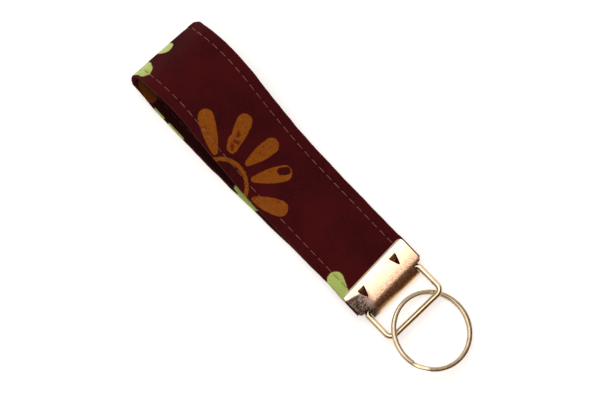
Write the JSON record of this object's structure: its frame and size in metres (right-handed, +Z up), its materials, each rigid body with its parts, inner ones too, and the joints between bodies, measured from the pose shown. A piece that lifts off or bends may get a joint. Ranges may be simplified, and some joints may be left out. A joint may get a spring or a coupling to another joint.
{
  "type": "wristlet key fob",
  "caption": "Wristlet key fob: a folded, edge-stitched cotton strap loop in a crimped metal end clamp, with a hinged wire bail and a split key ring.",
  "frame": {"origin": "under the middle of the fob's box, on the surface that it lies on", "axes": "+X across the strap, +Y from the key ring to the fold of the loop, +Z up"},
  "size_m": [0.0332, 0.169, 0.0175],
  "materials": {
    "printed_cotton": "woven cotton, printed, matte",
    "stiffener": "woven interfacing, matte",
    "sewing_thread": "twisted polyester thread",
    "gilt_sheet": "pale gold plating, polished",
    "gilt_wire": "pale gold plating, polished"
  },
  "bodies": {
    "strap": {"fabric_sleeve": "printed_cotton", "interfacing_core": "stiffener", "needle_thread_left": "sewing_thread", "needle_thread_right": "sewing_thread", "bobbin_thread_left": "sewing_thread", "bobbin_thread_right": "sewing_thread", "clamp": "gilt_sheet"},
    "bail_link": {"bail": "gilt_wire"},
    "key_ring": {"split_ring": "gilt_wire"}
  },
  "joints": [
    {"name": "bail_swing", "type": "hinge", "parent": "strap", "child": "bail_link", "pos_m": [0, -0.04587, 0.00305], "axis": [-1, 0, 0], "range_deg": [-65, 44]},
    {"name": "ring_swing", "type": "hinge", "parent": "bail_link", "child": "key_ring", "pos_m": [0, -0.05963, 0.00559], "axis": [-1, 0, 0], "range_deg": [-50, 50]}
  ]
}
